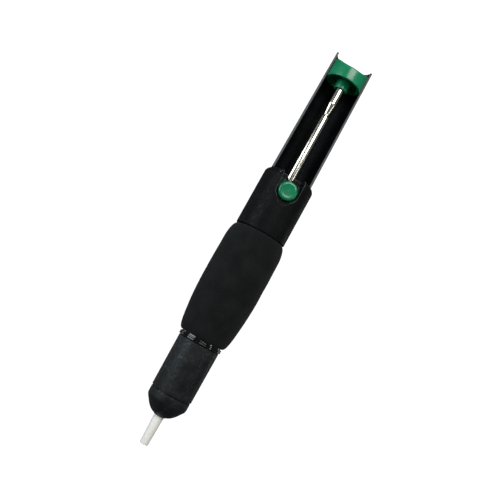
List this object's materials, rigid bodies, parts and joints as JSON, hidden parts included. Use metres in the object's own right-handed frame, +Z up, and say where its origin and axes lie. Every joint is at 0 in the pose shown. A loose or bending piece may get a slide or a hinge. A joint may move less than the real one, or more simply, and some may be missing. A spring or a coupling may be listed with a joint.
{
  "type": "desoldering pump",
  "caption": "Hand-held spring-driven desoldering pump with foam grip, push-to-cock plunger in a half-tube guard and a release button.",
  "frame": {"origin": "under the middle of the pump's length, on the surface that it lies on", "axes": "+X from the nozzle to the plunger knob, +Z up through the release button, Y across the pump"},
  "size_m": [0.2062, 0.029, 0.029],
  "materials": {
    "tip_plastic": "off-white, slightly translucent heat-proof plastic",
    "matte_black": "fine-textured matte black moulded plastic",
    "satin_black": "smooth satin black moulded plastic",
    "gloss_black": "glossy black moulded plastic",
    "grip_foam": "very dark closed-cell foam",
    "green_plastic": "satin-gloss green moulded plastic",
    "chrome_rod": "bright chromed steel",
    "spring_steel": "drawn spring wire and plain steel",
    "seal_rubber": "black nitrile rubber, lightly greased",
    "inner_plastic": "natural white acetal"
  },
  "bodies": {
    "body": {"main_tube": "gloss_black", "foam_grip": "grip_foam", "rear_housing": "satin_black", "guard": "satin_black", "rear_bush": "inner_plastic", "bumper_washer": "seal_rubber", "barrel_o_ring": "seal_rubber", "button_spring": "spring_steel"},
    "front_end": {"front_barrel": "matte_black", "nose_cap": "matte_black", "nozzle_tip": "tip_plastic", "nose_o_ring": "seal_rubber", "spring_seat": "spring_steel", "main_spring": "spring_steel"},
    "piston_end": {"piston": "inner_plastic", "piston_o_ring": "seal_rubber", "cleaning_pin": "spring_steel"},
    "plunger": {"plunger_rod": "chrome_rod", "plunger_knob": "green_plastic", "piston_nut": "spring_steel"},
    "button": {"release_button": "green_plastic"}
  },
  "joints": [
    {"name": "front_barrel_off", "type": "slide", "parent": "body", "child": "front_end", "axis": [1, 0, 0], "range_m": [-0.05, 0]},
    {"name": "plunger_slide", "type": "slide", "parent": "body", "child": "piston_end", "axis": [1, 0, 0], "range_m": [-0.0465, 0], "stiffness_N_per_m": 350, "springref_m": 0.014, "deforming": ["main_spring"]},
    {"name": "knob_twist", "type": "hinge", "parent": "piston_end", "child": "plunger", "pos_m": [0.08695, 0, 0.0145], "axis": [1, 0, 0], "continuous": true},
    {"name": "button_press", "type": "slide", "parent": "body", "child": "button", "axis": [0, 0, 1], "range_m": [-0.0015, 0], "stiffness_N_per_m": 700, "springref_m": 0.002, "deforming": ["button_spring"]}
  ]
}
